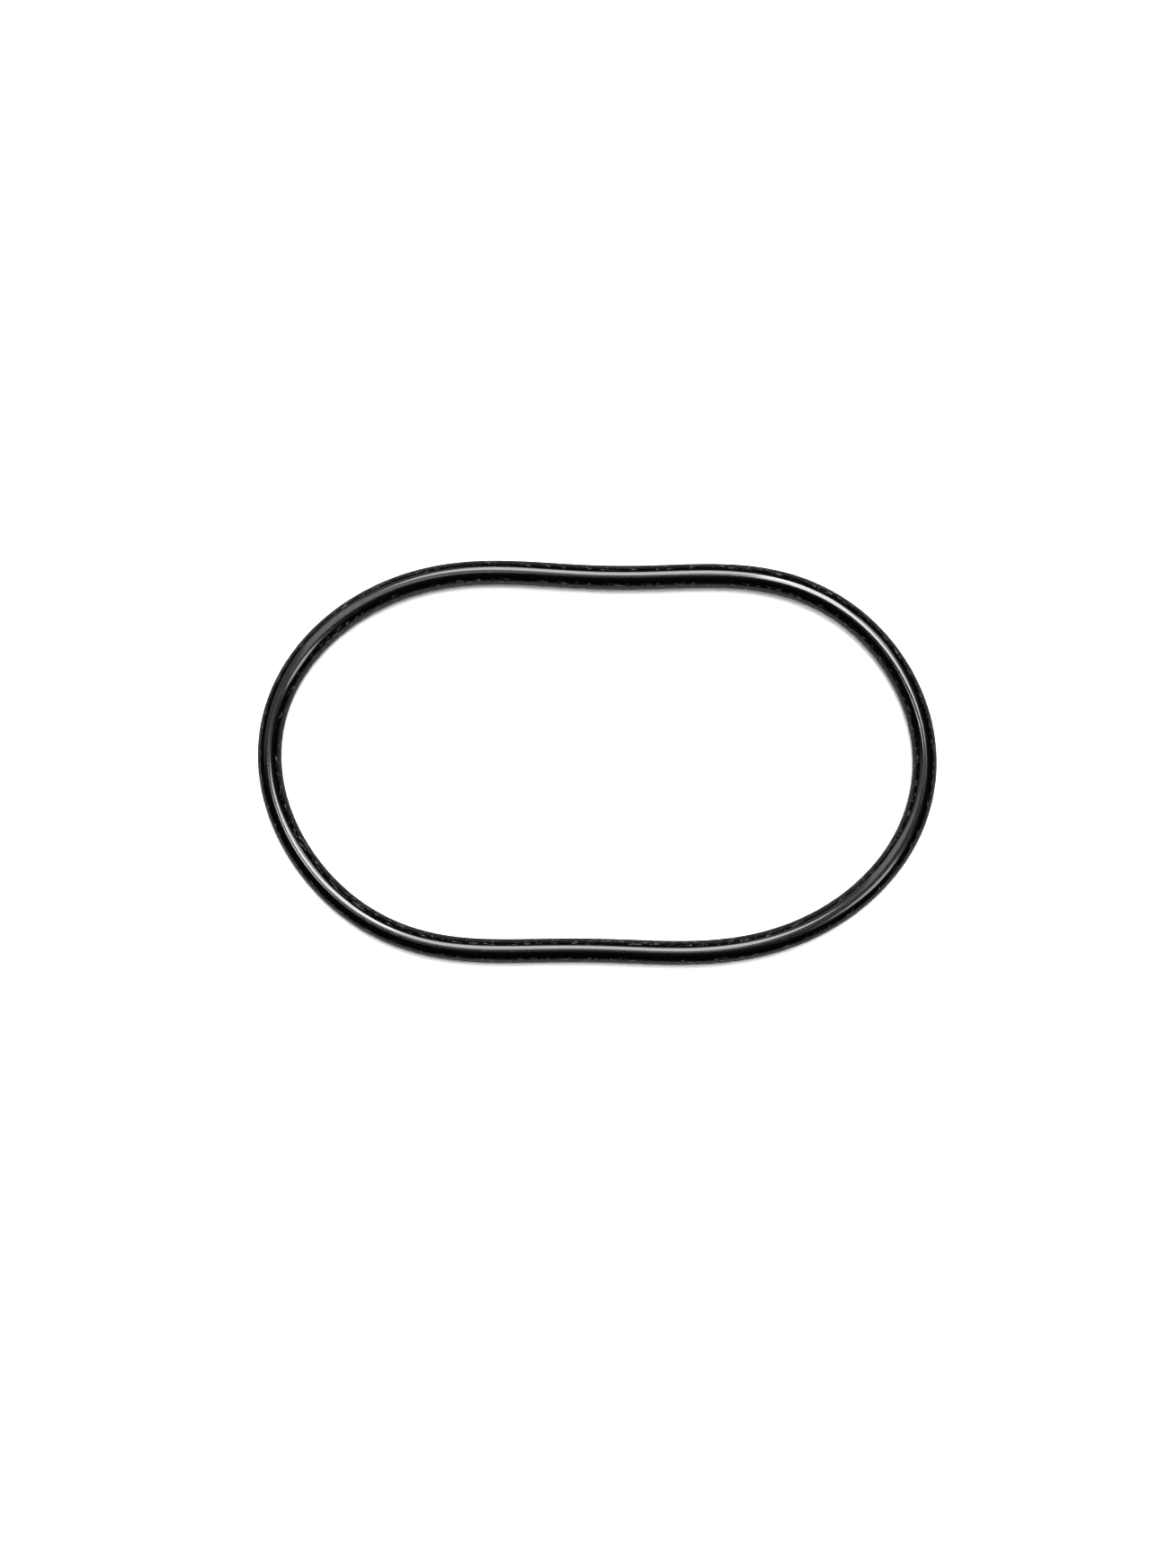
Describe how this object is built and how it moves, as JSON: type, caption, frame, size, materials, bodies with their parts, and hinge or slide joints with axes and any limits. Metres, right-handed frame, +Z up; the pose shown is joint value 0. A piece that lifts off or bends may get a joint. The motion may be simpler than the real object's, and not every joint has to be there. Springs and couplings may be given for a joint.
{
  "type": "o-ring",
  "caption": "Slender round-section rubber sealing ring, lying loose in a waisted oval. It seals a round joint when stretched into a groove.",
  "frame": {"origin": "middle of the loop's box, on the surface that the ring lies on", "axes": "+Z up out of the surface and square to the ring's plane, +X along the long way of the oval"},
  "size_m": [0.0758, 0.045, 0.0026],
  "materials": {
    "rubber": "moulded black rubber, smooth with a wet-looking gloss"
  },
  "bodies": {
    "root": {"o_ring": "rubber"}
  },
  "joints": []
}
